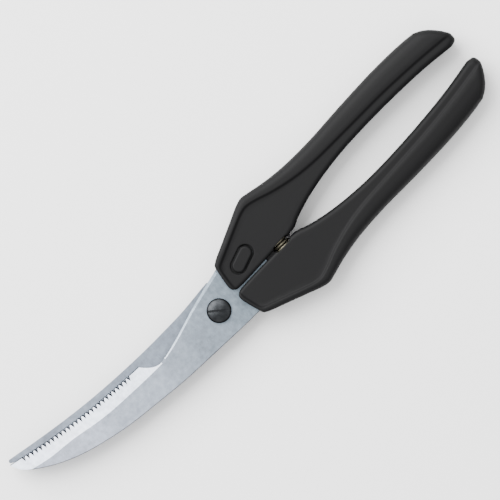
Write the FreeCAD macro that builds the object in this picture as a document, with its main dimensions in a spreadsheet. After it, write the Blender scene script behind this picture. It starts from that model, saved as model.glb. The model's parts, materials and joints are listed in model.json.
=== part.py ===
import FreeCAD, Part
import math
import os

from FreeCAD import Placement, Rotation, Vector

# Poultry shears, closed and lying flat. All sizes are in millimetres.
# Origin: the pivot axis at the surface that the shears lie on. +X runs to the blade tips,
# +Z runs up, and -Y is the side of the front blade's cutting edge and of the front handle.

document = FreeCAD.newDocument("poultry_shears")

DIMENSIONS = {
    # plates and handles, measured up from the surface
    "blade_thickness": 2.9,
    "rear_plate_top": 6.9,
    "front_plate_top": 10.0,
    "edge_land": 0.8,
    "edge_bevel_width": 0.45,
    "edge_bevel_height": 1.05,
    "edge_bevel_land": 0.15,
    "ricasso_drop": 0.15,
    "front_spine_chamfer": 0.25,
    "rear_spine_chamfer": 0.45,
    "handle_thickness": 14.0,
    "handle_fillet": 1.5,
    "panel_depth": 0.8,
    # pivot
    "pivot_hole_diameter": 6.1,
    "shoulder_diameter": 6.0,
    "thread_diameter": 5.0,
    "screw_head_diameter": 10.2,
    "screw_head_top": 12.3,
    "screw_slot_floor": 10.9,
    "screw_slot_width": 0.9,
    "nut_diameter": 11.0,
    "nut_height": 3.5,
    "spanner_hole_diameter": 1.6,
    "spanner_hole_depth": 1.2,
    # sweep radii about the pivot
    "front_shoulder_radius": 16.8,
    "rear_shoulder_radius": 9.7,
    "finger_inner_radius": 17.0,
    "finger_outer_radius": 28.3,
    "sweep_clearance": 0.2,
    # lock
    "lock_travel": 2.1,
    "barrel_diameter": 5.0,
    "barrel_hole_diameter": 5.2,
    "neck_diameter": 3.0,
    "mouth_width": 3.4,
    "button_length": 11.6,
    "button_width": 5.6,
    "button_height": 2.0,
    "button_top": 14.2,
    "well_length": 12.0,
    "well_width": 6.0,
    "moat_length": 14.2,
    "moat_width": 7.4,
    "moat_depth": 1.0,
    "pin_foot_diameter": 6.6,
    "pin_foot_hole_diameter": 7.0,
    "pin_foot_hole_depth": 3.2,
    # return spring
    "spring_outer_diameter": 8.0,
    "spring_wire_diameter": 0.9,
    "spring_length": 14.4,
    "spring_turns": 10.5,
    "spring_pocket_diameter": 8.6,
    "spring_pocket_depth": 7.4,
    "spring_window_low_x": -41.2,
    "spring_window_high_x": -33.3,
    "spring_window_half_width": 1.4,
    # slit between the handles
    "slit_half_width": 0.5,
}

SPRING_X = -37.0
LOCK_X = -21.7
LOCK_Y = -7.5
LOCK_TILT = 17.0
SCREW_SLOT_ANGLE = -42.0
TOOTH_COUNT = 28
TOOTH_PITCH = 1.963
FIRST_TOOTH_X = 45.4
# One gullet at three heights above the blade's inner face: (height, width at its mouth, depth).
GULLET_LEVELS = [(-0.1, 0.35, 1.0), (0.8, 1.85, 1.9), (1.9, 1.85, 2.5)]
GULLET_PAST_EDGE = 0.08

# Outline points, (x, y), tip to butt. The handle's are (x, distance from the centre line).
FRONT_SPINE = [(-11.6, 12.15), (0, 11.6), (15, 10.5), (30, 9.4), (45, 7.4), (60, 5.1), (70, 2.7),
               (80, -0.4), (90, -5.0), (97, -9.5), (102.5, -14.6), (104.6, -19.3)]
FRONT_RICASSO = [(-11.5, -12.5), (1, -9.9), (10, -7.75), (20, -5.0), (30, -3.0), (32, -2.75),
                 (34, -3.2), (36, -4.4), (39, -7.55), (39.7, -8.45)]
FRONT_EDGE = [(39.7, -8.45), (50, -9.4), (60, -10.45), (70, -11.85), (80, -13.65), (90, -15.7),
              (98.5, -17.85), (104.6, -19.3)]
FRONT_GRIND = [(31.5, -2.2), (40, -2.55), (50, -3.2), (60, -4.1), (70, -5.75), (80, -7.85),
               (90, -9.2), (98.5, -11.3), (106, -13.5)]
FRONT_GRIND_FOOT = [(31.5, -8.1), (40, -8.5), (50, -9.4), (60, -10.45), (70, -11.85), (80, -13.65),
                    (90, -15.7), (98.5, -17.85), (106, -19.7)]
RICASSO_GRIND = [(-10.4, -11.0), (0, -9.0), (10, -6.85), (20, -4.25), (29.5, -2.6)]
RICASSO_GRIND_FOOT = [(-10.4, -12.3), (0, -10.1), (10, -7.75), (20, -5.0), (29.5, -3.05)]

REAR_SPINE = [(-4.7, -11.55), (0, -11.3), (10, -10.65), (20, -10.65), (30, -10.9), (45, -11.8),
              (60, -13.25), (75, -15.4), (90, -18.2), (103.3, -21.0)]
REAR_TIP = [(103.3, -21.0), (104.1, -20.4), (103.9, -19.5)]
REAR_EDGE = [(-11.5, 12.2), (1, 9.7), (10, 7.6), (20, 5.0), (32, 1.9), (45, -1.5), (60, -5.7),
             (75, -9.7), (90, -14.4), (98, -17.0), (103.9, -19.5)]
REAR_GRIND = [(26, -3.4), (45, -6.6), (60, -10.4), (75, -14.0), (90, -18.9), (106, -24.0)]
REAR_GRIND_FOOT = [(26, 3.5), (45, -1.5), (60, -5.7), (75, -9.7), (90, -14.4), (106, -20.2)]

TANG_INNER = [(-28.3, 6.5), (-31, 9.3), (-44, 10.2), (-76, 11.8)]
TANG_END = [(-76, 11.8), (-77.9, 13.6), (-76, 15.4)]
TANG_OUTER = [(-76, 15.4), (-58, 16.6), (-40, 19.6), (-26, 15.6), (-13.6, 11.4)]
TANG_EDGE_Y = 0.38

HANDLE_NOSE = [(-12.2, 0.5), (-10.25, 1.35), (-9.6, 3.2)]
HANDLE_FRONT_CORNER = [(-11.4, 12.1), (-12.2, 14.0), (-14.2, 15.2)]
HANDLE_SIDE = [(-14.2, 15.2), (-20, 17.6), (-30, 21.75), (-36, 24.2), (-39.3, 25.0), (-43, 24.35),
               (-50, 22.75), (-60, 21.3), (-75, 20.65), (-95, 21.15), (-115, 21.25), (-130, 20.4),
               (-136.7, 19.5), (-140.9, 17.0), (-145.1, 12.0), (-147.0, 8.2), (-146.4, 5.2),
               (-143.8, 4.35), (-130, 6.2), (-112, 7.45), (-95, 7.9), (-80, 7.6), (-65, 6.0),
               (-55, 3.95), (-49, 2.15), (-46, 0.9), (-42.5, 0.5)]
HANDLE_CREASE = [(-8, 10.9), (-14, 13.2), (-20, 14.2), (-25, 16.1), (-35, 19.9), (-38.5, 20.45),
                 (-43, 19.5), (-50, 17.2), (-60, 14.5), (-70, 13.3), (-90, 12.55), (-110, 12.0),
                 (-130, 10.45), (-150, 8.0)]

sheet = document.addObject("Spreadsheet::Sheet", "Dimensions")
for row, (alias, value) in enumerate(DIMENSIONS.items(), start=1):
    sheet.set(f"A{row}", alias)
    sheet.set(f"B{row}", str(value))
    sheet.setAlias(f"B{row}", alias)
document.recompute()


def dimension(alias):
    return float(sheet.get(alias))


REAR_PLATE_BOTTOM = dimension("rear_plate_top") - dimension("blade_thickness")
FRONT_PLATE_BOTTOM = dimension("front_plate_top") - dimension("blade_thickness")
MID_HEIGHT = dimension("handle_thickness") / 2
LOCK_RADIUS = math.hypot(LOCK_X, LOCK_Y)
LOCK_ANGLE = math.degrees(math.atan2(LOCK_Y, LOCK_X)) % 360
FINGER_END_ANGLE = 212.5


# ---- sketch and feature helpers ----

def point(x, y):
    return Vector(x, y, 0)


def polar(radius, degrees):
    return point(radius * math.cos(math.radians(degrees)), radius * math.sin(math.radians(degrees)))


def mirrored(points, side):
    return [(x, side * distance) for x, distance in points]


def curve_through(points):
    curve = Part.BSplineCurve()
    curve.interpolate([point(x, y) for x, y in points])
    return curve


def lines_through(points):
    corners = [point(x, y) for x, y in points]
    return [Part.LineSegment(first, second) for first, second in zip(corners, corners[1:])]


def arc_through(points):
    return Part.Arc(*[point(x, y) for x, y in points])


def arc_about_pivot(radius, start_degrees, end_degrees):
    middle = (start_degrees + end_degrees) / 2
    return Part.Arc(polar(radius, start_degrees), polar(radius, middle), polar(radius, end_degrees))


def degrees_at(radius, y, side):
    """Angle of the point on a circle about the pivot, on the handles' side, at height y."""
    return 180 - math.degrees(math.asin(y / radius)) * side


def join(first, second):
    return Part.LineSegment(first, second)


def xy(vector):
    return (vector.x, vector.y)


def oval(centre_x, centre_y, length, width, tilt):
    """Two straight sides and two half circles."""
    turn = Placement(Vector(centre_x, centre_y, 0), Rotation(Vector(0, 0, 1), tilt))
    half = (length - width) / 2
    radius = width / 2
    corners = [(half, -radius), (half + radius, 0), (half, radius), (-half, radius),
               (-half - radius, 0), (-half, -radius)]
    a, right, b, c, left, d = [turn.multVec(point(x, y)) for x, y in corners]
    return [Part.Arc(a, right, b), join(b, c), Part.Arc(c, left, d), join(d, a)]


def new_body(name):
    body = document.addObject("PartDesign::Body", name)
    body.Label = name
    return body


def origin_feature(body, role):
    return [feature for feature in body.Origin.OriginFeatures if feature.Role == role][0]


def new_sketch(body, name, curves, height="0", role="XY_Plane"):
    sketch = body.newObject("Sketcher::SketchObject", name)
    sketch.AttachmentSupport = [(origin_feature(body, role), "")]
    sketch.MapMode = "FlatFace"
    sketch.setExpression("AttachmentOffset.Base.z", height)
    for curve in curves:
        sketch.addGeometry(curve, False)
    return sketch


def cell(alias):
    return f"Dimensions.{alias}"


def pad(body, name, curves, bottom, length):
    """Adds material upwards from the height bottom. Both sizes are expressions."""
    feature = body.newObject("PartDesign::Pad", name)
    feature.Profile = new_sketch(body, name + "_sketch", curves, bottom)
    feature.setExpression("Length", length)
    document.recompute()
    return feature


def pocket(body, name, curves, top, length, role="XY_Plane"):
    """Removes material, down from the height top in plan. Both sizes are expressions."""
    before = body.Shape.Volume
    feature = body.newObject("PartDesign::Pocket", name)
    feature.Profile = new_sketch(body, name + "_sketch", curves, top, role)
    feature.setExpression("Length", length)
    document.recompute()
    if body.Shape.Volume > before - 0.01:
        raise RuntimeError(f"{name} removes nothing")
    return feature


def revolve(body, name, curves):
    """Turns a profile drawn in the XZ plane about the vertical axis."""
    feature = body.newObject("PartDesign::Revolution", name)
    feature.Profile = new_sketch(body, name + "_sketch", curves, role="XZ_Plane")
    feature.ReferenceAxis = (origin_feature(body, "Z_Axis"), [""])
    feature.Angle = 360
    document.recompute()
    return feature


def dress(body, kind, name, base, edges, size):
    """Fillet or chamfer on numbered edges, its size bound to a cell."""
    feature = body.newObject("PartDesign::" + kind, name)
    feature.Base = (base, edges)
    feature.setExpression("Radius" if kind == "Fillet" else "Size", size)
    document.recompute()
    return feature


def edges_where(feature, test):
    return [f"Edge{number}" for number, edge in enumerate(feature.Shape.Edges, start=1) if test(edge)]


def lies_at(edge, height):
    box = edge.BoundBox
    return abs(box.ZMin - height) < 1e-4 and abs(box.ZMax - height) < 1e-4


def grind_tool(name, grind, foot, face_height, edge_height):
    """A wedge that grinds a plate from its flat face to the land along the edge.

    The sloped surface is ruled between the grind line and a line a little past the edge.
    """
    past = 0.15
    drop = face_height - edge_height
    top = Part.BSplineCurve()
    top.interpolate([Vector(x, y, face_height) for x, y in grind])
    bottom = Part.BSplineCurve()
    bottom.interpolate([Vector(x + past * (x - gx), y + past * (y - gy), edge_height - past * drop)
                        for (gx, gy), (x, y) in zip(grind, foot)])
    slope = Part.makeRuledSurface(top.toShape(), bottom.toShape())
    tool = document.addObject("Part::Feature", name)
    tool.Shape = slope.extrude(Vector(0, 0, math.copysign(6.0, drop)))
    return tool


def cut(name, base, tools):
    """The base less its tools, as one object."""
    wedges = document.addObject("Part::Compound", name + "_tools")
    wedges.Links = tools
    result = document.addObject("Part::Cut", name)
    result.Base = base
    result.Tool = wedges
    result.Label = name
    document.recompute()
    return result


# ---- blades ----

def edge_height_at(x):
    """Distance y of the front blade's edge line at x, between its outline points."""
    for (x0, y0), (x1, y1) in zip(FRONT_EDGE, FRONT_EDGE[1:]):
        if x0 <= x <= x1:
            return y0 + (y1 - y0) * (x - x0) / (x1 - x0)
    raise ValueError(f"{x} is off the edge")


def gullet_outline(x, width, depth, height):
    """One V in the front edge, square to the edge line, at a height."""
    slope = edge_height_at(x + 0.5) - edge_height_at(x - 0.5)
    length = math.hypot(1, slope)
    along = point(1 / length, slope / length)
    inward = point(-slope / length, 1 / length)
    mouth = Vector(x, edge_height_at(x), height)
    half = width / 2 * (1 + GULLET_PAST_EDGE / depth)
    left = mouth - along * half - inward * GULLET_PAST_EDGE
    right = mouth + along * half - inward * GULLET_PAST_EDGE
    return Part.makePolygon([left, right, mouth + inward * depth, left])


def gullets():
    """The wedges that cut the gullets. They widen upwards, so that their sides slope."""
    wedges = []
    for number in range(TOOTH_COUNT):
        x = FIRST_TOOTH_X + number * TOOTH_PITCH
        outlines = [gullet_outline(x, width, depth, FRONT_PLATE_BOTTOM + height)
                    for height, width, depth in GULLET_LEVELS]
        wedges.append(Part.makeLoft(outlines, True, True))
    tool = document.addObject("Part::Feature", "gullet_wedges")
    tool.Shape = Part.makeCompound(wedges)
    return tool


def tang_outline(side):
    """From the handle slit, round the inside of the handle and back to its front end."""
    return (lines_through(mirrored(TANG_INNER, side)) + [arc_through(mirrored(TANG_END, side))]
            + [curve_through(mirrored(TANG_OUTER, side))])


def front_blade_outline():
    radius = dimension("front_shoulder_radius")
    slit = polar(radius, degrees_at(radius, TANG_EDGE_Y, 1))
    spine_start = polar(radius, math.degrees(math.atan2(FRONT_SPINE[0][1], FRONT_SPINE[0][0])))
    spine = [xy(spine_start)] + FRONT_SPINE[1:]
    corner = point(TANG_INNER[0][0], TANG_EDGE_Y)
    tang_start = point(TANG_INNER[0][0], -TANG_INNER[0][1])
    tang_finish = point(TANG_OUTER[-1][0], -TANG_OUTER[-1][1])
    shoulder_middle = (degrees_at(radius, TANG_EDGE_Y, 1)
                       + math.degrees(math.atan2(spine_start.y, spine_start.x))) / 2
    return ([curve_through(spine), Part.Arc(spine_start, polar(radius, shoulder_middle), slit),
             join(slit, corner), join(corner, tang_start)]
            + tang_outline(-1)
            + [join(tang_finish, point(*FRONT_RICASSO[0])),
               curve_through(FRONT_RICASSO), curve_through(FRONT_EDGE)])


def rear_blade_outline():
    shoulder = dimension("rear_shoulder_radius")
    inner = dimension("finger_inner_radius")
    outer = dimension("finger_outer_radius")
    shoulder_start = 231.5
    shoulder_end = degrees_at(shoulder, -TANG_EDGE_Y, 1)
    inner_start = degrees_at(inner, -TANG_EDGE_Y, 1)
    outer_end = degrees_at(outer, -TANG_EDGE_Y, 1)
    tang_start = point(*TANG_INNER[0])
    tang_finish = point(*TANG_OUTER[-1])
    return ([curve_through(REAR_SPINE), arc_through(REAR_TIP), curve_through(REAR_EDGE),
             join(point(*REAR_SPINE[0]), polar(shoulder, shoulder_start)),
             arc_about_pivot(shoulder, shoulder_start, shoulder_end),
             join(polar(shoulder, shoulder_end), polar(inner, inner_start)),
             arc_about_pivot(inner, inner_start, FINGER_END_ANGLE),
             join(polar(inner, FINGER_END_ANGLE), polar(outer, FINGER_END_ANGLE)),
             arc_about_pivot(outer, FINGER_END_ANGLE, outer_end),
             join(polar(outer, outer_end), tang_start)]
            + tang_outline(1)
            + [join(tang_finish, point(*REAR_EDGE[0]))])


def plate(name, outline, top_alias):
    """A flat blade with its pivot hole."""
    body = new_body(name)
    blank = pad(body, name + "_blank", outline,
                f"{cell(top_alias)} - {cell('blade_thickness')}", cell("blade_thickness"))
    hole = [Part.Circle(point(0, 0), Vector(0, 0, 1), dimension("pivot_hole_diameter") / 2)]
    return body, blank, hole


def make_front_blade():
    body, blank, hole = plate("front_blade_plate", front_blade_outline(), "front_plate_top")
    top = dimension("front_plate_top")

    def is_spine(edge):
        return lies_at(edge, top) and edge.BoundBox.XMax > 100 and edge.BoundBox.YMax > 10
    spine = edges_where(blank, is_spine)
    dress(body, "Chamfer", "front_spine_chamfer", blank, spine, cell("front_spine_chamfer"))
    pocket(body, "front_pivot_hole", hole, cell("front_plate_top"), cell("blade_thickness"))
    barrel = Part.Circle(point(LOCK_X, LOCK_Y), Vector(0, 0, 1), dimension("barrel_hole_diameter") / 2)
    pocket(body, "front_lock_hole", [barrel], cell("front_plate_top"), cell("blade_thickness"))
    land = FRONT_PLATE_BOTTOM + dimension("edge_land")
    bevel = grind_tool("front_bevel_tool", FRONT_GRIND, FRONT_GRIND_FOOT, top, land)
    foot = top - dimension("ricasso_drop")
    ricasso = grind_tool("ricasso_bevel_tool", RICASSO_GRIND, RICASSO_GRIND_FOOT, top, foot)
    ground = cut("front_blade_ground", body, [bevel, ricasso])
    inner_line = [(x, y + dimension("edge_bevel_width")) for x, y in FRONT_GRIND_FOOT]
    upper = FRONT_PLATE_BOTTOM + dimension("edge_bevel_height")
    lower = FRONT_PLATE_BOTTOM + dimension("edge_bevel_land")
    edge_bevel = grind_tool("edge_bevel_tool", inner_line, FRONT_GRIND_FOOT, upper, lower)
    edged = cut("front_blade_edged", ground, [edge_bevel])
    return cut("front_blade", edged, [gullets()])


def make_rear_blade():
    body, blank, hole = plate("rear_blade_plate", rear_blade_outline(), "rear_plate_top")
    bottom = REAR_PLATE_BOTTOM

    def is_spine(edge):
        return lies_at(edge, bottom) and edge.BoundBox.XMax > 100 and edge.BoundBox.YMin < -20
    spine = edges_where(blank, is_spine)
    dress(body, "Chamfer", "rear_spine_chamfer", blank, spine, cell("rear_spine_chamfer"))
    pocket(body, "rear_pivot_hole", hole, cell("rear_plate_top"), cell("blade_thickness"))
    keyhole = Part.Circle(point(LOCK_X, LOCK_Y), Vector(0, 0, 1), dimension("barrel_hole_diameter") / 2)
    pocket(body, "lock_keyhole", [keyhole], cell("rear_plate_top"), cell("blade_thickness"))
    near = LOCK_RADIUS - dimension("mouth_width") / 2
    far = LOCK_RADIUS + dimension("mouth_width") / 2
    past_end = FINGER_END_ANGLE + 2
    mouth = [arc_about_pivot(near, LOCK_ANGLE, past_end), join(polar(near, past_end), polar(far, past_end)),
             arc_about_pivot(far, past_end, LOCK_ANGLE), join(polar(far, LOCK_ANGLE), polar(near, LOCK_ANGLE))]
    pocket(body, "lock_mouth", mouth, cell("rear_plate_top"), cell("blade_thickness"))
    land = dimension("rear_plate_top") - dimension("edge_land")
    bevel = grind_tool("rear_bevel_tool", REAR_GRIND, REAR_GRIND_FOOT, bottom, land)
    return cut("rear_blade", body, [bevel])


# ---- handles ----

def handle_outline(side):
    nose = mirrored(HANDLE_NOSE, side)
    corner = mirrored(HANDLE_FRONT_CORNER, side)
    loop = mirrored(HANDLE_SIDE, side)
    return ([arc_through(nose), join(point(*nose[-1]), point(*corner[0])), arc_through(corner),
             curve_through(loop), join(point(*loop[-1]), point(*nose[0]))])


def panel_outline(side):
    """The sunk flat inside the crease line, out past the inner edge of the handle."""
    crease = mirrored(HANDLE_CREASE, side)
    inside = mirrored([(HANDLE_CREASE[-1][0], -3), (HANDLE_CREASE[0][0], -3)], side)
    corners = [crease[-1], inside[0], inside[1], crease[0]]
    return [curve_through(crease)] + lines_through(corners)


def rectangle(x_low, x_high, y_low, y_high):
    return lines_through([(x_low, y_low), (x_high, y_low), (x_high, y_high), (x_low, y_high), (x_low, y_low)])


def handle_blank(name, side):
    """Rounded grip with its sunk panels and its spring pocket."""
    body = new_body(name)
    blank = pad(body, name + "_blank", handle_outline(side), "0", cell("handle_thickness"))
    height = dimension("handle_thickness")

    def is_rim(edge):
        in_slit = abs(edge.BoundBox.YMax - edge.BoundBox.YMin) < 0.01
        return (lies_at(edge, 0) or lies_at(edge, height)) and not in_slit
    dress(body, "Fillet", name + "_rim_fillet", blank, edges_where(blank, is_rim), cell("handle_fillet"))
    pocket(body, name + "_top_panel", panel_outline(side), cell("handle_thickness"), cell("panel_depth"))
    pocket(body, name + "_lower_panel", panel_outline(side), cell("panel_depth"), cell("panel_depth"))
    reach = side * dimension("spring_window_half_width")
    window = rectangle(dimension("spring_window_low_x"), dimension("spring_window_high_x"), 0, reach)
    pocket(body, name + "_spring_window", window, cell("handle_thickness"), cell("handle_thickness"))
    ring = Part.Circle(point(SPRING_X, MID_HEIGHT), Vector(0, 0, 1), dimension("spring_pocket_diameter") / 2)
    # the XZ plane's normal is -Y, so its pockets run towards +Y
    start = "0" if side > 0 else cell("spring_pocket_depth")
    pocket(body, name + "_spring_pocket", [ring], start, cell("spring_pocket_depth"), "XZ_Plane")
    return body


def make_front_handle():
    body = handle_blank("front_handle", -1)
    pocket(body, "front_tang_cavity", front_blade_outline(), cell("front_plate_top"), cell("blade_thickness"))
    clearance = dimension("sweep_clearance")
    near = dimension("finger_inner_radius") - clearance
    far = dimension("finger_outer_radius") + clearance
    end = FINGER_END_ANGLE + 1.1
    slot = [arc_about_pivot(near, 177, end), join(polar(near, end), polar(far, end)),
            arc_about_pivot(far, end, 177), join(polar(far, 177), polar(near, 177))]
    slot_top = f"{cell('front_plate_top')} - {cell('blade_thickness')}"
    pocket(body, "finger_slot", slot, slot_top, f"{cell('blade_thickness')} + 2 * {cell('sweep_clearance')}")
    moat = oval(LOCK_X, LOCK_Y, dimension("moat_length"), dimension("moat_width"), LOCK_TILT)
    pocket(body, "button_moat", moat, cell("handle_thickness"),
           f"{cell('panel_depth')} + {cell('moat_depth')}")
    well = oval(LOCK_X, LOCK_Y, dimension("well_length"), dimension("well_width"), LOCK_TILT)
    pocket(body, "button_well", well, cell("handle_thickness"),
           f"{cell('handle_thickness')} - {cell('front_plate_top')}")
    neck = Part.Circle(point(LOCK_X, LOCK_Y), Vector(0, 0, 1), dimension("mouth_width") / 2)
    pocket(body, "pin_neck_hole", [neck], slot_top, slot_top)
    foot = Part.Circle(point(LOCK_X, LOCK_Y), Vector(0, 0, 1), dimension("pin_foot_hole_diameter") / 2)
    pocket(body, "pin_foot_hole", [foot], cell("pin_foot_hole_depth"), cell("pin_foot_hole_depth"))
    return body


BUFFER_BOX = {"x_low": -32.8, "x_high": -28.8, "y_low": -0.42, "y_high": 4.6}
BUFFER_BOTTOM = 2.6
BUFFER_TOP = 12.2
# the small lug that meets the front handle at the slit's inner end
LUG_BOX = {"x_low": -42.35, "x_high": -41.5, "y_high": 1.5}
LUG_BOTTOM = 3
LUG_TOP = 12


def make_rear_handle():
    body = handle_blank("rear_handle", 1)
    pocket(body, "rear_tang_cavity", rear_blade_outline(), cell("rear_plate_top"), cell("blade_thickness"))
    radius = dimension("front_shoulder_radius") + dimension("sweep_clearance")
    disc = Part.Circle(point(0, 0), Vector(0, 0, 1), radius)
    pocket(body, "shoulder_slot", [disc], f"{cell('front_plate_top')} + {cell('sweep_clearance')} / 2",
           f"{cell('front_plate_top')} + {cell('sweep_clearance')} / 2 - {cell('rear_plate_top')}")
    seat = rectangle(BUFFER_BOX["x_low"], BUFFER_BOX["x_high"], 0, BUFFER_BOX["y_high"])
    pocket(body, "buffer_seat", seat, str(BUFFER_TOP), str(BUFFER_TOP - BUFFER_BOTTOM))
    lug = rectangle(LUG_BOX["x_low"], LUG_BOX["x_high"], BUFFER_BOX["y_low"], LUG_BOX["y_high"])
    pad(body, "closing_lug", lug, str(LUG_BOTTOM), str(LUG_TOP - LUG_BOTTOM))
    return body


def make_closing_buffer():
    body = new_body("closing_buffer")
    block = rectangle(**BUFFER_BOX)
    pad(body, "buffer_block", block, str(BUFFER_BOTTOM), str(BUFFER_TOP - BUFFER_BOTTOM))
    return body


# ---- pivot ----

def make_pivot_screw():
    body = new_body("pivot_screw")
    thread = dimension("thread_diameter") / 2
    shoulder = dimension("shoulder_diameter") / 2
    head = dimension("screw_head_diameter") / 2
    seat = dimension("front_plate_top")
    top = dimension("screw_head_top")
    rim = seat + 1.2
    bottom = 0.6
    step = dimension("nut_height") + 0.1
    sides = lines_through([(0, top), (0, bottom), (thread - 0.4, bottom), (thread, bottom + 0.4),
                           (thread, step), (shoulder, step), (shoulder, seat), (head, seat), (head, rim),
                           (head - 0.3, rim + 0.25)])
    dome_radius = ((head - 0.3) ** 2 + (top - rim - 0.25) ** 2) / (2 * (top - rim - 0.25))
    half_way = (head - 0.3) / 2
    dome_middle = top - dome_radius + math.sqrt(dome_radius ** 2 - half_way ** 2)
    dome = arc_through([(head - 0.3, rim + 0.25), (half_way, dome_middle), (0, top)])
    revolve(body, "screw_turning", sides + [dome])
    slot = oval(0, 0, 2 * head + 6, dimension("screw_slot_width"), SCREW_SLOT_ANGLE)
    pocket(body, "screw_slot", slot, cell("screw_head_top"),
           f"{cell('screw_head_top')} - {cell('screw_slot_floor')}")
    return body


def make_pivot_nut():
    body = new_body("pivot_nut")
    outer = dimension("nut_diameter") / 2
    bore = dimension("thread_diameter") / 2
    height = dimension("nut_height")
    floor = 0.6
    profile = lines_through([(0, 0), (outer - 0.5, 0), (outer, 0.5), (outer, height), (bore, height),
                             (bore, floor + 0.4), (bore - 0.4, floor), (0, floor), (0, 0)])
    revolve(body, "nut_turning", profile)
    across = 3.8
    holes = [Part.Circle(point(across * sign, 0), Vector(0, 0, 1), dimension("spanner_hole_diameter") / 2)
             for sign in (-1, 1)]
    pocket(body, "spanner_holes", holes, cell("spanner_hole_depth"), cell("spanner_hole_depth"))
    return body


def make_wave_washer():
    """A thin ring with three waves, between the nut and the rear blade."""
    thickness = 0.2
    wave = 0.11
    low = dimension("nut_height") + 0.04 + wave

    def rim(radius):
        steps = [math.radians(15 * number) for number in range(24)]
        curve = Part.BSplineCurve()
        curve.interpolate([Vector(radius * math.cos(a), radius * math.sin(a), low + wave * math.sin(3 * a))
                           for a in steps], PeriodicFlag=True)
        return curve.toShape()
    inner = rim(dimension("shoulder_diameter") / 2 + 0.15)
    outer = rim(dimension("nut_diameter") / 2 - 0.5)
    washer = document.addObject("Part::Feature", "wave_washer")
    washer.Shape = Part.makeRuledSurface(inner, outer).extrude(Vector(0, 0, thickness))
    washer.Label = "wave_washer"
    return washer


# ---- lock ----

NECK_TOP = 7.0
RING_HEIGHT = 9.55
RING_WIRE = 0.32


def make_lock_pin():
    body = new_body("lock_pin")
    foot = dimension("pin_foot_diameter") / 2
    neck = dimension("neck_diameter") / 2
    spigot = 1.2
    foot_bottom = 2.55
    foot_top = 3.15
    profile = lines_through([(0, foot_bottom), (foot - 0.2, foot_bottom), (foot, foot_bottom + 0.2),
                             (foot, foot_top), (neck, foot_top), (neck, NECK_TOP), (spigot, NECK_TOP),
                             (spigot, 11.0), (0, 11.0), (0, foot_bottom)])
    revolve(body, "pin_turning", profile)
    body.Placement = Placement(Vector(LOCK_X, LOCK_Y, 0), Rotation())
    return body


def make_lock_button():
    body = new_body("lock_button")
    barrel = dimension("barrel_diameter") / 2
    groove = RING_HEIGHT - RING_WIRE - 0.03
    ring_floor = 1.94
    top = dimension("button_top") - 1.0
    profile = lines_through([(1.2, NECK_TOP), (barrel, NECK_TOP), (barrel, groove), (ring_floor, groove),
                             (ring_floor, groove + 0.7), (barrel, groove + 0.7), (barrel, top), (0, top),
                             (0, 11.0), (1.2, 11.0), (1.2, NECK_TOP)])
    revolve(body, "barrel_turning", profile)
    cap = oval(0, 0, dimension("button_length"), dimension("button_width"), LOCK_TILT)
    pad_feature = pad(body, "button_cap", cap, f"{cell('button_top')} - {cell('button_height')}",
                      cell("button_height"))
    height = dimension("button_top")
    dress(body, "Fillet", "button_edge", pad_feature, edges_where(pad_feature, lambda e: lies_at(e, height)),
          "0.9")
    body.Placement = Placement(Vector(LOCK_X, LOCK_Y, 0), Rotation())
    return body


def make_lock_o_ring():
    ring = document.addObject("Part::Torus", "lock_o_ring")
    ring.Label = "lock_o_ring"
    ring.Radius1 = 2.26
    ring.Radius2 = RING_WIRE
    ring.Placement = Placement(Vector(LOCK_X, LOCK_Y, RING_HEIGHT), Rotation())
    return ring


# ---- return spring ----

def make_return_spring():
    """A coil whose axis crosses the slit between the handles."""
    body = new_body("return_spring")
    wire = dimension("spring_wire_diameter") / 2
    mean = dimension("spring_outer_diameter") / 2 - wire
    profile = new_sketch(body, "spring_wire", [Part.Circle(point(mean, 0), Vector(0, 0, 1), wire)],
                         role="XZ_Plane")
    coil = body.newObject("PartDesign::AdditiveHelix", "spring_coil")
    coil.Profile = profile
    coil.ReferenceAxis = (profile, ["V_Axis"])
    coil.Mode = "height-turns-growth"
    coil.setExpression("Height", f"{cell('spring_length')} - {cell('spring_wire_diameter')}")
    coil.setExpression("Turns", cell("spring_turns"))
    half = (dimension("spring_length") - 2 * wire) / 2
    body.Placement = Placement(Vector(SPRING_X, -half, MID_HEIGHT), Rotation(Vector(1, 0, 0), -90))
    document.recompute()
    return body


nodes = [
    make_front_blade(), make_rear_blade(), make_front_handle(), make_rear_handle(),
    make_pivot_screw(), make_pivot_nut(), make_wave_washer(), make_closing_buffer(),
    make_lock_pin(), make_lock_button(), make_lock_o_ring(), make_return_spring(),
]
document.recompute()

for item in document.Objects:
    if "Invalid" in item.State or "Error" in item.State:
        raise RuntimeError(f"{item.Name} failed: {item.State}")
for node in nodes:
    if node.Shape.isNull() or not node.Shape.isValid():
        raise RuntimeError(f"{node.Label} has no valid shape")

os.makedirs("parts", exist_ok=True)
for node in nodes:
    node.Shape.exportStep(f"parts/{node.Label}.step")
    print(node.Label, round(node.Shape.Volume, 1), len(node.Shape.Solids))
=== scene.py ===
import json
import math

import bmesh
import bpy
import numpy as np
from mathutils import Matrix, Vector


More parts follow.
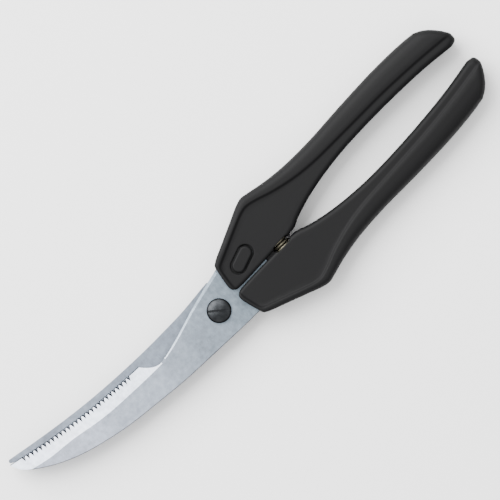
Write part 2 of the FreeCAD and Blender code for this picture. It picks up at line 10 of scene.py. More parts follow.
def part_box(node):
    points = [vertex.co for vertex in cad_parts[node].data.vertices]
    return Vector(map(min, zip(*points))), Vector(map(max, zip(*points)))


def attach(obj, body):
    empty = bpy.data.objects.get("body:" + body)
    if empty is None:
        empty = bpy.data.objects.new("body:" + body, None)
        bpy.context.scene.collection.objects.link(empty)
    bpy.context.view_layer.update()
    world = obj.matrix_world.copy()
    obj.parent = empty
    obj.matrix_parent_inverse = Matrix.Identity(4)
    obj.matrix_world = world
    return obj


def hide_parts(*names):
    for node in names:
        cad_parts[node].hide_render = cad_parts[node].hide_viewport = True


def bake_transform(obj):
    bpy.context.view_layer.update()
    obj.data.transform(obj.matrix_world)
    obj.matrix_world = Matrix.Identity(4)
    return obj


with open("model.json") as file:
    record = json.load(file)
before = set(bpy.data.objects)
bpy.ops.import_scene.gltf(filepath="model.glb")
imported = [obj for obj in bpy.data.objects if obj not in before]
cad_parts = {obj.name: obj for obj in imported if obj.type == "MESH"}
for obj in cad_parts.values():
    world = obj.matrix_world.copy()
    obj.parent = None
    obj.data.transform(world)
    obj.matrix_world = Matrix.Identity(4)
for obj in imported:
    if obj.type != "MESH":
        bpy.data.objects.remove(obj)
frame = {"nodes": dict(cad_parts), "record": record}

# Poultry shears, closed and lying flat. The frame: origin on the pivot axis at the surface, +X to the
# blade tips, +Z up. Outlines below are in millimetres, turned into metres as they are used.

MM = 0.001
NODES = frame["nodes"]
MATERIAL_SLOTS = {entry["node"]: entry["material_slot"] for entry in frame["record"]["subparts"]}
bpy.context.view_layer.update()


# ---- camera, floor and light ----

VIEW_CENTRE = Vector((-26.7 * MM, -7.7 * MM, 0))
VIEW_TURN = math.radians(43.08)
VIEW_HEIGHT = 1.1435
VIEW_LENS = 200
SENSOR_WIDTH = 36


def put_in_scene(name, data):
    """A new object that carries the data, in the scene."""
    made = bpy.data.objects.new(name, data)
    bpy.context.scene.collection.objects.link(made)
    return made


def make_camera():
    """Looks straight down, with the blade tips towards the picture's lower left."""
    data = bpy.data.cameras.new("camera")
    data.lens = VIEW_LENS
    data.sensor_width = SENSOR_WIDTH
    camera = put_in_scene("camera", data)
    right = Vector((-math.cos(math.radians(90) - VIEW_TURN), math.cos(VIEW_TURN), 0))
    up = Vector((-right.y, right.x, 0))
    turn = Matrix((right, up, Vector((0, 0, 1)))).transposed()
    camera.matrix_world = Matrix.Translation(VIEW_CENTRE + Vector((0, 0, VIEW_HEIGHT))) @ turn.to_4x4()
    bpy.context.scene.camera = camera


def area_light(name, place, target, size, power):
    data = bpy.data.lights.new(name, "AREA")
    data.shape = "RECTANGLE"
    data.size = size[0]
    data.size_y = size[1]
    data.energy = power
    light = put_in_scene(name, data)
    light.location = place
    light.rotation_euler = (Vector(target) - Vector(place)).to_track_quat("-Z", "Y").to_euler()


def make_studio():
    """A pale floor, a soft key from the front handle's side and a bright, even room."""
    bpy.ops.mesh.primitive_plane_add(size=6)
    floor = bpy.context.object
    floor.name = "floor"
    material = bpy.data.materials.new("floor_paint")
    material.use_nodes = True
    shader = material.node_tree.nodes["Principled BSDF"]
    shader.inputs["Base Color"].default_value = (0.9, 0.9, 0.9, 1)
    shader.inputs["Roughness"].default_value = 0.9
    floor.data.materials.append(material)
    world = bpy.data.worlds.new("room")
    world.use_nodes = True
    tree = world.node_tree
    background = tree.nodes["Background"]
    background.inputs["Color"].default_value = (1, 1, 1, 1)
    towards = add(tree, "ShaderNodeVectorMath", operation="DOT_PRODUCT")
    tree.links.new(add(tree, "ShaderNodeTexCoord").outputs["Generated"], towards.inputs[0])
    towards.inputs[1].default_value = (0, -0.5, 0.87)
    tree.links.new(spread(tree, towards.outputs["Value"], 0.5, 2.2, -0.5, 0.9), background.inputs["Strength"])
    bpy.context.scene.world = world
    area_light("key", (0.1, -0.95, 1.0), (0, 0, 0), (1.3, 1.3), 62)


# ---- materials ----

def new_material(name):
    material = bpy.data.materials.new(name)
    material.use_nodes = True
    tree = material.node_tree
    return material, tree, tree.nodes["Principled BSDF"]


def add(tree, kind, **values):
    node = tree.nodes.new(kind)
    for key, value in values.items():
        setattr(node, key, value)
    return node


def place(tree, scale=(1, 1, 1)):
    """Object coordinates, stretched: a small scale along an axis draws the pattern out along it."""
    coordinates = add(tree, "ShaderNodeTexCoord")
    mapping = add(tree, "ShaderNodeMapping")
    mapping.inputs["Scale"].default_value = scale
    tree.links.new(coordinates.outputs["Object"], mapping.inputs["Vector"])
    return mapping.outputs["Vector"]


def noise(tree, vector, scale, detail=4.0, roughness=0.5):
    node = add(tree, "ShaderNodeTexNoise")
    node.inputs["Scale"].default_value = scale
    node.inputs["Detail"].default_value = detail
    node.inputs["Roughness"].default_value = roughness
    tree.links.new(vector, node.inputs["Vector"])
    return node.outputs["Fac"]


def spread(tree, value, low, high, from_low=0.0, from_high=1.0):
    """Maps a value onto another range, and holds it there."""
    node = add(tree, "ShaderNodeMapRange")
    tree.links.new(value, node.inputs["Value"])
    node.inputs["From Min"].default_value = from_low
    node.inputs["From Max"].default_value = from_high
    node.inputs["To Min"].default_value = low
    node.inputs["To Max"].default_value = high
    return node.outputs["Result"]


def mix_colour(tree, factor, first, second):
    """Two colours, or links to them, mixed by a value."""
    node = add(tree, "ShaderNodeMix", data_type="RGBA")
    tree.links.new(factor, node.inputs[0])
    for socket, colour in ((node.inputs[6], first), (node.inputs[7], second)):
        if isinstance(colour, tuple):
            socket.default_value = (*colour, 1)
        else:
            tree.links.new(colour, socket)
    return node.outputs[2]


def bump(tree, shader, height, distance, strength=1.0):
    node = add(tree, "ShaderNodeBump")
    node.inputs["Strength"].default_value = strength
    node.inputs["Distance"].default_value = distance
    tree.links.new(height, node.inputs["Height"])
    tree.links.new(node.outputs["Normal"], shader.inputs["Normal"])


def dim(tree, colour, amount):
    """A colour made darker or lighter by a value about 1."""
    node = add(tree, "ShaderNodeHueSaturation")
    tree.links.new(colour, node.inputs["Color"])
    tree.links.new(amount, node.inputs["Value"])
    return node.outputs["Color"]


def calculate(tree, operation, first, second):
    node = add(tree, "ShaderNodeMath", operation=operation)
    for socket, value in zip(node.inputs, (first, second)):
        if isinstance(value, (int, float)):
            socket.default_value = value
        else:
            tree.links.new(value, socket)
    return node.outputs[0]


def blade_steel():
    """Satin stainless steel: cross-ground flats and brighter finer bevels, with a painted reflection that
    makes the flats darker towards the pivot, and painted shade on the rear blade and steep faces.
    """
    material, tree, shader = new_material("blade_steel")
    geometry = add(tree, "ShaderNodeNewGeometry")
    facing = add(tree, "ShaderNodeSeparateXYZ")
    tree.links.new(geometry.outputs["True Normal"], facing.inputs[0])
    flat = calculate(tree, "ABSOLUTE", facing.outputs["Z"], 0)
    bevel = spread(tree, flat, 1, 0, 0.93, 0.985)
    along = add(tree, "ShaderNodeSeparateXYZ")
    tree.links.new(place(tree), along.inputs[0])
    # painted reflection: the flats' colour runs from dark near the pivot to light towards the tips
    painted_reflection_ramp = spread(tree, along.outputs["X"], 0, 1, -0.01, 0.09)
    clouds = noise(tree, place(tree), 45, 3)
    grain = noise(tree, place(tree, (1, 0.035, 0.035)), 3800, 5, 0.65)
    fine = noise(tree, place(tree, (1, 0.06, 0.06)), 9000, 3, 0.6)
    front_blade_painted_reflection = mix_colour(tree, painted_reflection_ramp, (0.135, 0.17, 0.20), (0.365, 0.395, 0.47))
    # painted shade and painted reflection: the rear blade's flats are darker than the front blade's, with the
    # same pivot-to-tip ramp
    rear_blade_painted_shade_and_reflection = mix_colour(tree, painted_reflection_ramp, (0.125, 0.15, 0.185), (0.19, 0.215, 0.26))
    # painted shade mask: everything below the front blade's level takes the darker colour
    lower = spread(tree, along.outputs["Z"], 1, 0, 0.00695, 0.00705)
    flat_colour = mix_colour(tree, lower, front_blade_painted_reflection, rear_blade_painted_shade_and_reflection)
    streaked = mix_colour(tree, spread(tree, grain, 0, 0.35, 0.35, 0.65), flat_colour, (0.23, 0.26, 0.30))
    ground = mix_colour(tree, bevel, streaked, (0.27, 0.285, 0.315))
    # painted shade: steep faces, such as the serration gullets' walls and edge chamfers, are coloured near
    # black
    with_painted_facet_shade = mix_colour(tree, spread(tree, flat, 1, 0, 0.78, 0.9), ground, (0.05, 0.055, 0.065))
    mottle = calculate(tree, "ADD", spread(tree, clouds, 0.84, 1.14, 0.3, 0.7),
                       spread(tree, noise(tree, place(tree), 420, 5, 0.65), -0.2, 0.2, 0.3, 0.7))
    tree.links.new(dim(tree, with_painted_facet_shade, mottle), shader.inputs["Base Color"])
    rough = calculate(tree, "ADD", spread(tree, grain, 0.30, 0.42), spread(tree, clouds, 0.0, 0.06))
    tree.links.new(rough, shader.inputs["Roughness"])
    shader.inputs["Metallic"].default_value = 1
    bump(tree, shader, calculate(tree, "ADD", grain, fine), 0.000004)
    return material


def grip_plastic():
    """Black moulded nylon: very fine spark-eroded grain, faint flow marks and handling gloss."""
    material, tree, shader = new_material("grip_plastic")
    grain = noise(tree, place(tree), 5200, 2, 0.5)
    pores = noise(tree, place(tree), 1700, 3, 0.6)
    flow = noise(tree, place(tree, (0.3, 1, 1)), 60, 3, 0.5)
    tree.links.new(mix_colour(tree, flow, (0.0026, 0.0026, 0.0029), (0.0036, 0.0036, 0.0039)),
                   shader.inputs["Base Color"])
    rough = calculate(tree, "ADD", spread(tree, grain, 0.52, 0.64), spread(tree, flow, -0.05, 0.05))
    tree.links.new(rough, shader.inputs["Roughness"])
    shader.inputs["Specular IOR Level"].default_value = 0.13
    bump(tree, shader, calculate(tree, "ADD", grain, pores), 0.000022)
    return material


def blackened_steel():
    """Turned and blackened screw: rings about its axis, worn brighter in patches."""
    material, tree, shader = new_material("blackened_steel")
    centre = add(tree, "ShaderNodeVectorMath", operation="MULTIPLY")
    tree.links.new(place(tree), centre.inputs[0])
    centre.inputs[1].default_value = (1, 1, 0)
    radius = add(tree, "ShaderNodeVectorMath", operation="LENGTH")
    tree.links.new(centre.outputs[0], radius.inputs[0])
    ring = add(tree, "ShaderNodeTexNoise", noise_dimensions="1D")
    ring.inputs["Scale"].default_value = 14000
    ring.inputs["Detail"].default_value = 3
    tree.links.new(radius.outputs["Value"], ring.inputs["W"])
    patches = noise(tree, place(tree), 260, 3)
    worn = mix_colour(tree, spread(tree, patches, 0, 1, 0.35, 0.7), (0.016, 0.0175, 0.019),
                      (0.036, 0.038, 0.041))
    # painted shade: the outer ring of the screw head is darkened
    painted_rim_shade = spread(tree, radius.outputs["Value"], 1, 0.3, 0.0043, 0.0047)
    tree.links.new(dim(tree, worn, painted_rim_shade), shader.inputs["Base Color"])
    tree.links.new(spread(tree, ring.outputs["Fac"], 0.22, 0.38), shader.inputs["Roughness"])
    shader.inputs["Metallic"].default_value = 1
    shader.inputs["Anisotropic"].default_value = 0.7
    tangent = add(tree, "ShaderNodeTangent", direction_type="RADIAL", axis="Z")
    tree.links.new(tangent.outputs[0], shader.inputs["Tangent"])
    bump(tree, shader, ring.outputs["Fac"], 0.000003)
    return material


def plated_wire():
    """Yellow passivated spring wire, with drawn streaks and thin dull spots."""
    material, tree, shader = new_material("yellow_plated_steel")
    spots = noise(tree, place(tree), 900, 3)
    tint = noise(tree, place(tree), 180, 2)
    gold = mix_colour(tree, tint, (0.16, 0.145, 0.10), (0.22, 0.205, 0.15))
    tree.links.new(mix_colour(tree, spread(tree, spots, 0, 0.5, 0.5, 0.75), gold, (0.07, 0.065, 0.05)),
                   shader.inputs["Base Color"])
    tree.links.new(spread(tree, spots, 0.4, 0.6), shader.inputs["Roughness"])
    shader.inputs["Metallic"].default_value = 0.8
    return material


def bright_steel():
    """Plain spring steel of the small inner pieces."""
    material, tree, shader = new_material("spring_steel")
    streaks = noise(tree, place(tree, (1, 1, 0.1)), 3000, 4)
    tree.links.new(mix_colour(tree, streaks, (0.45, 0.46, 0.47), (0.6, 0.6, 0.6)),
                   shader.inputs["Base Color"])
    tree.links.new(spread(tree, streaks, 0.22, 0.4), shader.inputs["Roughness"])
    shader.inputs["Metallic"].default_value = 1
    bump(tree, shader, streaks, 0.000004)
    return material


def buffer_rubber():
    """Dull black rubber with a dusty bloom."""
    material, tree, shader = new_material("buffer_rubber")
    bloom = noise(tree, place(tree), 700, 4)
    tree.links.new(mix_colour(tree, bloom, (0.002, 0.002, 0.0022), (0.004, 0.004, 0.0042)),
                   shader.inputs["Base Color"])
    tree.links.new(spread(tree, bloom, 0.6, 0.85), shader.inputs["Roughness"])
    shader.inputs["Specular IOR Level"].default_value = 0.08
    bump(tree, shader, bloom, 0.00002)
    return material


# ---- outlines, as on the CAD handles: (x, distance from the centre line), in millimetres ----

SIDE_POINTS = [(-12.2, 14.0), (-14.2, 15.2), (-20, 17.6), (-30, 21.75), (-36, 24.2), (-39.3, 25.0),
               (-43, 24.35), (-50, 22.75), (-60, 21.3), (-75, 20.65), (-95, 21.15), (-115, 21.25),
               (-130, 20.4), (-136.7, 19.5)]
BUTT_POINTS = [(-136.7, 19.5), (-140.9, 17.0), (-145.1, 12.0), (-147.0, 8.2), (-146.4, 5.2), (-143.8, 4.35)]
INNER_POINTS = [(-143.8, 4.35), (-130, 6.2), (-112, 7.45), (-95, 7.9), (-80, 7.6), (-65, 6.0), (-55, 3.95),
                (-49, 2.15), (-46, 0.9), (-42.5, 0.5)]
SLIT_POINTS = [(-42.5, 0.5), (-12.2, 0.5), (-11.0, 0.85)]
FRONT_POINTS = [(-11.0, 0.85), (-9.95, 1.85), (-9.6, 3.2), (-11.4, 12.1), (-11.7, 13.2), (-12.2, 14.0)]
CREASE_POINTS = [(-16, 13.1), (-20, 14.7), (-25, 16.7), (-30, 18.7), (-35, 20.5), (-38.5, 21.0),
                 (-43, 19.9), (-50, 17.4), (-60, 14.8), (-70, 13.4), (-90, 12.6), (-110, 12.0),
                 (-130, 10.45), (-150, 8.0)]
CREASE_ROUND_FRONT = [(-10.95, 1.0), (-11.1, 3.5), (-11.9, 8.0), (-12.6, 10.8), (-14.0, 12.3)]
CREASE_GUIDE = [(-8, 11.6), (-14.0, 12.3)]


def smooth_line(points, step=0.1):
    """A Catmull-Rom curve through the points, sampled about every step."""
    points = np.array(points, float)
    ends = [2 * points[0] - points[1], *points, 2 * points[-1] - points[-2]]
    line = []
    for p0, p1, p2, p3 in zip(ends, ends[1:], ends[2:], ends[3:]):
        knots = [0.0]
        for a, b in ((p0, p1), (p1, p2), (p2, p3)):
            knots.append(knots[-1] + math.sqrt(np.linalg.norm(b - a)))
        count = max(2, int(np.linalg.norm(p2 - p1) / step))
        t = np.linspace(knots[1], knots[2], count, endpoint=False)[:, None]
        a1 = (knots[1] - t) * p0 / (knots[1] - knots[0]) + (t - knots[0]) * p1 / (knots[1] - knots[0])
        a2 = (knots[2] - t) * p1 / (knots[2] - knots[1]) + (t - knots[1]) * p2 / (knots[2] - knots[1])
        a3 = (knots[3] - t) * p2 / (knots[3] - knots[2]) + (t - knots[2]) * p3 / (knots[3] - knots[2])
        b1 = (knots[2] - t) * a1 / (knots[2] - knots[0]) + (t - knots[0]) * a2 / (knots[2] - knots[0])
        b2 = (knots[3] - t) * a2 / (knots[3] - knots[1]) + (t - knots[1]) * a3 / (knots[3] - knots[1])
        line.extend((knots[2] - t) * b1 / (knots[2] - knots[1]) + (t - knots[1]) * b2 / (knots[2] - knots[1]))
    line.append(points[-1])
    return np.array(line)


def lengths_along(line):
    return np.concatenate([[0], np.cumsum(np.linalg.norm(np.diff(line, axis=0), axis=1))])


def at_lengths(line, lengths):
    """Points at these distances along a line."""
    run = lengths_along(line)
    return np.stack([np.interp(lengths, run, line[:, axis]) for axis in (0, 1)], -1)


def at_shares(line, shares):
    return at_lengths(line, np.asarray(shares) * lengths_along(line)[-1])


def ease(value):
    value = np.clip(value, 0, 1)
    return value * value * (3 - 2 * value)


def distance_to(line, points):
    """Distance of each point from a line, and the number of the line's nearest point."""
    distances = np.empty(len(points))
    nearest = np.empty(len(points), int)
    for start in range(0, len(points), 400):
        part = points[start:start + 400]
        near = np.linalg.norm(part[:, None] - line[None], axis=2).argmin(1)
        best = np.full(len(part), np.inf)
        for shift in (-1, 0):
            a = line[np.clip(near + shift, 0, len(line) - 2)]
            b = line[np.clip(near + shift, 0, len(line) - 2) + 1]
            span = b - a
            share = np.clip(((part - a) * span).sum(1) / np.maximum((span ** 2).sum(1), 1e-12), 0, 1)
            best = np.minimum(best, np.linalg.norm(part - a - span * share[:, None], axis=1))
        distances[start:start + 400] = best
        nearest[start:start + 400] = near
    return distances, nearest


# ---- meshes ----

def mesh_object(name, mesh):
    """Turns a finished bmesh into an object, and frees it."""
    data = bpy.data.meshes.new(name)
    mesh.to_mesh(data)
    mesh.free()
    return put_in_scene(name, data)


def join_rings(mesh, rings):
    """Faces between closed rings of the same number of vertices."""
    for first, second in zip(rings, rings[1:]):
        for k in range(len(first)):
            after = (k + 1) % len(first)
            mesh.faces.new((first[k], first[after], second[after], second[k]))


# ---- handles ----

HANDLE_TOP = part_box("front_handle")[1].z / MM
MIDDLE = HANDLE_TOP / 2
STEP_DEPTH = 0.8
STEP_WIDTH = 1.3
CROWN = 0.011
EDGE_RADII = {"side": 3.6, "butt": 2.8, "inner": 2.0, "slit": 1.3, "front": 1.1}
# rounding of the outer side, growing with the distance behind the pivot
SIDE_RADII = [(12, 1.2), (24, 1.8), (42, 2.4), (62, 3.6), (136, 3.6)]
INNER_ROUNDING = 2.1
ROUNDING_SAMPLES = 41
GROOVE_ROWS = (1.3, 1.55, 1.8, 2.05, 2.3, 2.6)


class GripShape:
    """The plan and the height of one grip's upper face; its lower face is the mirror image."""

    def __init__(self):
        self.side = smooth_line(SIDE_POINTS)
        self.butt = smooth_line(BUTT_POINTS)
        self.inner = np.concatenate([smooth_line(INNER_POINTS), smooth_line(SLIT_POINTS)[1:]])[::-1]
        self.front = smooth_line(FRONT_POINTS)[::-1]
        self.crease = smooth_line(CREASE_ROUND_FRONT + CREASE_POINTS)
        # the columns of faces run straight on to the front end, where the crease turns
        self.guide = smooth_line(CREASE_GUIDE + CREASE_POINTS)
        # one closed run: side, butt, inner edge and slit, front
        self.loop = np.concatenate([self.side, self.butt[1:], self.inner[::-1][1:], self.front[::-1][1:]])
        self.radii = self.edge_radii()

    def edge_radii(self):
        """Rounding at each point of the closed run, with its changes smoothed out."""
        side = np.interp(-self.side[:, 0], *zip(*SIDE_RADII))
        butt = np.full(len(self.butt) - 1, EDGE_RADII["butt"])
        inner_x = self.inner[::-1][1:, 0]
        inner = np.where(inner_x < -43.5, EDGE_RADII["inner"], EDGE_RADII["slit"])
        front = np.full(len(self.front) - 1, EDGE_RADII["front"])
        radii = np.concatenate([side, butt, inner, front])
        width = ROUNDING_SAMPLES
        wrapped = np.concatenate([radii[-width:], radii, radii[:width]])
        return np.convolve(wrapped, np.ones(width) / width, "same")[width:-width]

    def height(self, points, on_edge):
        """Height of the upper face above the middle, at each plan point."""
        off_crease, near = distance_to(self.crease, points)
        crease_y = np.interp(-points[:, 0], -self.crease[:, 0], self.crease[:, 1])
        signed = np.where(points[:, 1] > crease_y, off_crease, -off_crease)
        raised = ease(signed / STEP_WIDTH + 0.5)
        crown = CROWN * np.clip(signed - STEP_WIDTH / 2, 0, None) ** 2
        base = HANDLE_TOP - MIDDLE - STEP_DEPTH * (1 - raised) - crown
        inside, nearest = distance_to(self.loop, points)
        inside = np.where(on_edge, 0, inside)
        radius = self.radii[nearest % len(self.radii)]
        into = np.clip(radius - inside, 0, None)
        return base - (radius - np.sqrt(np.maximum(radius ** 2 - into ** 2, 0)))

    def patch(self, share_along, shares_across):
        """Plan points of one row across the grip, from a Coons patch of its four sides."""
        u = share_along
        v = shares_across[:, None]
        outer = at_shares(self.side, [u])[0]
        inner = at_shares(self.inner, [u])[0]
        front = at_shares(self.front, shares_across)
        butt = at_shares(self.butt, shares_across)
        corners = ((1 - u) * ((1 - v) * self.side[0] + v * self.inner[0])
                   + u * ((1 - v) * self.side[-1] + v * self.inner[-1]))
        return (1 - v) * outer + v * inner + (1 - u) * front + u * butt - corners

    def row(self, share_along):
        """One row with its columns gathered at the outer edge, the crease and the inner edge."""
        fine = self.patch(share_along, np.linspace(0, 1, 240))
        run = lengths_along(fine)
        crease_y = np.interp(-fine[:, 0], -self.guide[:, 0], self.guide[:, 1])
        below = np.nonzero(fine[:, 1] < crease_y)[0]
        crossing = run[below[0]] if len(below) else 0.3 * run[-1]
        crossing = np.clip(crossing, 1.25, run[-1] - 3)
        outer_radius = min(EDGE_RADII["side"], crossing - STEP_WIDTH / 2 - 0.05)
        inner_radius = min(INNER_ROUNDING, 0.25 * run[-1])
        turns = [math.radians(angle) for angle in (0, 20, 36, 50, 64, 78, 90)]
        start = [outer_radius * (1 - math.cos(turn)) for turn in turns]
        finish = [run[-1] - inner_radius * (1 - math.cos(turn)) for turn in turns][::-1]
        crease = [crossing + STEP_WIDTH * share for share in (-0.5, -0.36, -0.2, 0, 0.2, 0.36, 0.5)]
        band = list(np.linspace(start[-1], crease[0], 5)[1:-1])
        panel = list(np.linspace(crease[-1], finish[0], 9)[1:-1])
        return at_lengths(fine, start + band + crease + panel + finish)

    def rows(self):
        """Shares along the grip of its rows, gathered at the front, its groove and the butt."""
        length = lengths_along(self.inner)[-1]
        turns = [math.radians(angle) for angle in (0, 22, 40, 56, 74, 90)]
        front = [EDGE_RADII["front"] * (1 - math.cos(turn)) / length for turn in turns]
        front += [offset / length for offset in GROOVE_ROWS]
        butt = [1 - EDGE_RADII["butt"] * (1 - math.cos(turn)) / length for turn in turns][::-1]
        middle = np.linspace(front[-1], butt[0], 118)[1:-1]
        return front + list(middle) + butt


# (share of the upper edge's height, distance outwards): the middle one is the mould's parting line
WALL_STEPS = ((1, 0.0), (0.5, 0.0), (0.035, 0.0), (0.0, -0.09), (-0.035, 0.0), (-0.5, 0.0), (-1, 0.0))


def grip_solid(name, side):
    """A closed grip: upper face, wall with its mould parting line, and mirrored lower face."""
    shape = GripShape()
    rows = [shape.row(share) for share in shape.rows()]
    plan = np.array(rows)
    count_u, count_v = plan.shape[:2]
    edge = np.zeros((count_u, count_v), bool)
    edge[0] = edge[-1] = True
    edge[:, 0] = edge[:, -1] = True
    heights = shape.height(plan.reshape(-1, 2), edge.reshape(-1)).reshape(count_u, count_v)
    mesh = bmesh.new()

    def vertex(point, height):
        return mesh.verts.new((point[0] * MM, side * point[1] * MM, (MIDDLE + height) * MM))
    upper = [[vertex(plan[i, j], heights[i, j]) for j in range(count_v)] for i in range(count_u)]
    lower = [[vertex(plan[i, j], -heights[i, j]) for j in range(count_v)] for i in range(count_u)]
    for i in range(count_u - 1):
        for j in range(count_v - 1):
            mesh.faces.new((upper[i][j], upper[i + 1][j], upper[i + 1][j + 1], upper[i][j + 1]))
            mesh.faces.new((lower[i][j], lower[i][j + 1], lower[i + 1][j + 1], lower[i + 1][j]))
    ring = ([(i, 0) for i in range(count_u - 1)]
            + [(count_u - 1, j) for j in range(count_v - 1)]
            + [(i, count_v - 1) for i in range(count_u - 1, 0, -1)]
            + [(0, j) for j in range(count_v - 1, 0, -1)])
    centre = np.array([plan[i, j] for i, j in ring])
    ahead = np.roll(centre, -1, axis=0) - np.roll(centre, 1, axis=0)
    outward = np.stack([-ahead[:, 1], ahead[:, 0]], -1)
    outward /= np.linalg.norm(outward, axis=1)[:, None]
    if (outward[0] @ np.array([0, 1])) < 0:
        outward = -outward
    walls = [[upper[i][j] for i, j in ring]]
    for level, offset in WALL_STEPS[1:-1]:
        walls.append([vertex(centre[k] + outward[k] * offset, level * heights[i, j])
                      for k, (i, j) in enumerate(ring)])
    walls.append([lower[i][j] for i, j in ring])
    join_rings(mesh, walls)
    bmesh.ops.recalc_face_normals(mesh, faces=mesh.faces)
    return mesh_object(name, mesh)


# ---- cutters for the grips' openings ----

# how far a cutter stands out of the face that it opens
THROUGH = 1


def prism(outline, bottom, top):
    """A closed prism from a plan outline, in millimetres."""
    mesh = bmesh.new()
    low = [mesh.verts.new((x * MM, y * MM, bottom * MM)) for x, y in outline]
    high = [mesh.verts.new((x * MM, y * MM, top * MM)) for x, y in outline]
    mesh.faces.new(low[::-1])
    mesh.faces.new(high)
    join_rings(mesh, [low, high])
    bmesh.ops.recalc_face_normals(mesh, faces=mesh.faces)
    return mesh_object("cutter", mesh)


def oval_points(centre, length, width, tilt, count=24):
    """A slot shape: two half circles joined by straight sides."""
    half = (length - width) / 2
    points = []
    for k in range(2 * count):
        angle = math.pi * k / count - math.pi / 2 + math.pi / (2 * count)
        shift = half if math.cos(angle) > 0 else -half
        points.append((shift + width / 2 * math.cos(angle), width / 2 * math.sin(angle)))
    turn = math.radians(tilt)
    return [(centre[0] + x * math.cos(turn) - y * math.sin(turn),
             centre[1] + x * math.sin(turn) + y * math.cos(turn)) for x, y in points]


def circle_points(centre, radius, count=48):
    return [(centre[0] + radius * math.cos(2 * math.pi * k / count),
             centre[1] + radius * math.sin(2 * math.pi * k / count)) for k in range(count)]


def sector_points(inner, outer, start, end, count=28):
    """Part of a ring about the pivot, between two angles in degrees."""
    angles = [math.radians(start + (end - start) * k / count) for k in range(count + 1)]
    return ([(outer * math.cos(a), outer * math.sin(a)) for a in angles]
            + [(inner * math.cos(a), inner * math.sin(a)) for a in reversed(angles)])


def flared_oval(centre, length, width, tilt, floor, lip, radius):
    """An oval recess whose lip rolls outwards."""
    mesh = bmesh.new()
    levels = [(0, floor)]
    for k in range(7):
        turn = math.radians(90 * k / 6)
        levels.append((2 * radius * (1 - math.cos(turn)), lip - radius + radius * math.sin(turn)))
    levels.append((levels[-1][0] + 0.4, lip + 0.05))
    levels.append((levels[-1][0], lip + 3))
    rings = []
    for grow, height in levels:
        outline = oval_points(centre, length + grow, width + grow, tilt)
        rings.append([mesh.verts.new((x * MM, y * MM, height * MM)) for x, y in outline])
    mesh.faces.new(rings[0][::-1])
    mesh.faces.new(rings[-1])
    join_rings(mesh, rings)
    bmesh.ops.recalc_face_normals(mesh, faces=mesh.faces)
    return mesh_object("cutter", mesh)


SPRING_SIDE_CLEARANCE = 0.3
SPRING_END_CLEARANCE = 0.2


def spring_bore():
    """The pocket for the return spring, across the slit."""
    coil_low, coil_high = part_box("return_spring")
    centre = (coil_low + coil_high) / 2
    radius = (coil_high.x - coil_low.x) / 2 + SPRING_SIDE_CLEARANCE * MM
    depth = (coil_high.y - coil_low.y) / 2 + SPRING_END_CLEARANCE * MM
    mesh = bmesh.new()
    turn = Matrix.Translation(centre) @ Matrix.Rotation(math.radians(90), 4, "X")
    bmesh.ops.create_cone(mesh, cap_ends=True, segments=40, radius1=radius, radius2=radius,
                          depth=2 * depth, matrix=turn)
    return mesh_object("cutter", mesh)


WINDOW_CORNERS = [(-41.2, 0), (-41.2, 0.9), (-40.7, 1.4), (-33.8, 1.4), (-33.3, 0.9), (-33.3, 0)]


def spring_window(side):
    """The opening in the slit's edge, through the whole thickness, that shows the spring."""
    outline = [(x, side * y) for x, y in WINDOW_CORNERS]
    return prism(outline, -THROUGH, HANDLE_TOP + THROUGH)


def node_copy(node):
    """A CAD piece's own shape, to cut its seat."""
    mesh = bmesh.new()
    mesh.from_mesh(NODES[node].data)
    bmesh.ops.remove_doubles(mesh, verts=mesh.verts, dist=1e-7)
    return mesh_object("cutter", mesh)


def combine(piece, others, operation):
    """Exact boolean of the piece with each of the others, which are used up."""
    for cutter in others:
        modifier = piece.modifiers.new("cut", "BOOLEAN")
        modifier.operation = operation
        modifier.solver = "EXACT"
        modifier.object = cutter
        bpy.context.view_layer.update()
        evaluated = piece.evaluated_get(bpy.context.evaluated_depsgraph_get())
        data = bpy.data.meshes.new_from_object(evaluated)
        piece.modifiers.clear()
        piece.data = data
        bpy.data.objects.remove(cutter)


def shade(piece, degrees=38):
    piece.data.shade_smooth()
    piece.data.set_sharp_from_angle(angle=math.radians(degrees))


LOCK_CENTRE = tuple(((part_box("lock_pin")[0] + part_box("lock_pin")[1]) / 2 / MM)[:2])
LOCK_TILT = 17
LOCK_MOAT = {"length": 12.6, "width": 6.6, "depth": 0.55, "lip_radius": 0.5}
LOCK_WELL = {"length": 11.7, "width": 5.7}
LOCK_NECK_RADIUS = 1.7
LOCK_BARREL_RADIUS = 3.5
LOCK_BARREL_TOP = 3.2
FINGER = {"inner": 16.8, "outer": 28.5, "start": 177, "end": 213.6}
SHOULDER_REACH = 17.0
PLATE_GAP = 0.1
LUG_CORNERS = [(-42.35, -0.42), (-41.5, -0.42), (-41.5, 1.5), (-42.35, 1.5)]
LUG_BOTTOM = 3
LUG_TOP = 12


def make_front_grip(material):
    grip = grip_solid("front_grip", -1)
    plate_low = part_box("front_blade")[0].z / MM
    plate_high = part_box("front_blade")[1].z / MM
    rear_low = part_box("rear_blade")[0].z / MM
    panel = HANDLE_TOP - STEP_DEPTH
    combine(grip, [
        node_copy("front_blade"),
        prism(sector_points(FINGER["inner"], FINGER["outer"], FINGER["start"], FINGER["end"]),
              rear_low - 2 * PLATE_GAP, plate_low),
        flared_oval(LOCK_CENTRE, LOCK_MOAT["length"], LOCK_MOAT["width"], LOCK_TILT,
                    panel - LOCK_MOAT["depth"], panel, LOCK_MOAT["lip_radius"]),
        prism(oval_points(LOCK_CENTRE, LOCK_WELL["length"], LOCK_WELL["width"], LOCK_TILT),
              plate_high, panel),
        prism(circle_points(LOCK_CENTRE, LOCK_NECK_RADIUS), THROUGH, plate_low),
        prism(circle_points(LOCK_CENTRE, LOCK_BARREL_RADIUS), -THROUGH, LOCK_BARREL_TOP),
        spring_bore(),
        spring_window(-1),
    ], "DIFFERENCE")
    finish_piece(grip, material, "front_half", "front_handle")


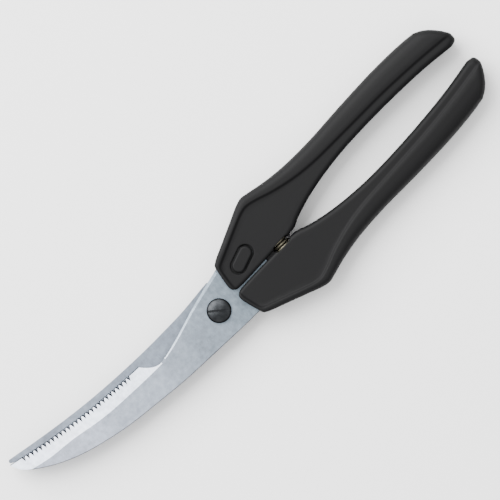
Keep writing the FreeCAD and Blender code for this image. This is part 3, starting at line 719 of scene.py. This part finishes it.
def make_rear_grip(material):
    grip = grip_solid("rear_grip", 1)
    plate_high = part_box("front_blade")[1].z / MM
    rear_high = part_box("rear_blade")[1].z / MM
    combine(grip, [
        node_copy("rear_blade"),
        prism(circle_points((0, 0), SHOULDER_REACH, 160), rear_high, plate_high + PLATE_GAP),
        spring_bore(),
        spring_window(1),
        node_copy("closing_buffer"),
    ], "DIFFERENCE")
    combine(grip, [prism(LUG_CORNERS, LUG_BOTTOM, LUG_TOP)], "UNION")
    finish_piece(grip, material, "rear_half", "rear_handle")


def finish_piece(piece, material, body, node):
    """Shading, material, and the CAD node that the piece stands for."""
    shade(piece)
    piece.data.materials.clear()
    piece.data.materials.append(material)
    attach(piece, body)
    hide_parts(node)


# ---- return spring ----

WIRE_RADIUS = 0.45


def make_spring(material):
    """A coil with closed, ground ends, that stretches between the two grips."""
    low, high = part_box("return_spring")
    centre = (low + high) / 2
    wire = WIRE_RADIUS * MM
    mean = (high.x - low.x) / 2 - wire
    length = high.y - low.y
    turns = 10.5
    sides = 14
    steps = int(turns * 44)
    closed = 0.85
    ground_off = 0.35 * wire

    def advance(turn):
        """Share of the length at a turn: the end coils nearly touch, the others are open."""
        slow = 2.15 * wire
        fast = (length - 2 * wire - 2 * closed * slow) / (turns - 2 * closed)
        inner = np.clip(turn - closed, 0, turns - 2 * closed)
        ends = min(turn, closed) + max(turn - turns + closed, 0)
        return ends * slow + inner * fast
    mesh = bmesh.new()
    rings = []
    for step in range(steps + 1):
        turn = turns * step / steps
        angle = 2 * math.pi * turn
        out = Vector((math.cos(angle), 0, math.sin(angle)))
        middle = centre + out * mean + Vector((0, advance(turn) - length / 2 + wire, 0))
        ring = []
        for k in range(sides):
            around = 2 * math.pi * k / sides
            offset = out * math.cos(around) * wire + Vector((0, math.sin(around) * wire, 0))
            point = middle + offset
            point.y = min(max(point.y, low.y + ground_off), high.y - ground_off)
            ring.append(mesh.verts.new(point))
        rings.append(ring)
    join_rings(mesh, rings)
    mesh.faces.new(rings[0][::-1])
    mesh.faces.new(rings[-1])
    bmesh.ops.recalc_face_normals(mesh, faces=mesh.faces)
    coil = mesh_object("spring_coil", mesh)
    shade(coil)
    coil.data.materials.append(material)
    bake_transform(coil)
    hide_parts("return_spring")


# ---- the whole object ----

def dress_nodes(materials):
    """Gives each CAD piece that stays its material."""
    for name, node in NODES.items():
        material = materials[MATERIAL_SLOTS[name]]
        if node.material_slots:
            for slot in node.material_slots:
                slot.material = material
        else:
            node.data.materials.append(material)


def main():
    make_camera()
    make_studio()
    grip = grip_plastic()
    rubber = buffer_rubber()
    materials = {
        "blade_steel": blade_steel(), "grip_plastic": grip, "button_plastic": grip,
        "blackened_steel": blackened_steel(), "spring_steel": bright_steel(),
        "yellow_plated_steel": plated_wire(), "buffer_rubber": rubber,
    }
    dress_nodes(materials)
    make_front_grip(grip)
    make_rear_grip(grip)
    make_spring(materials["yellow_plated_steel"])


main()
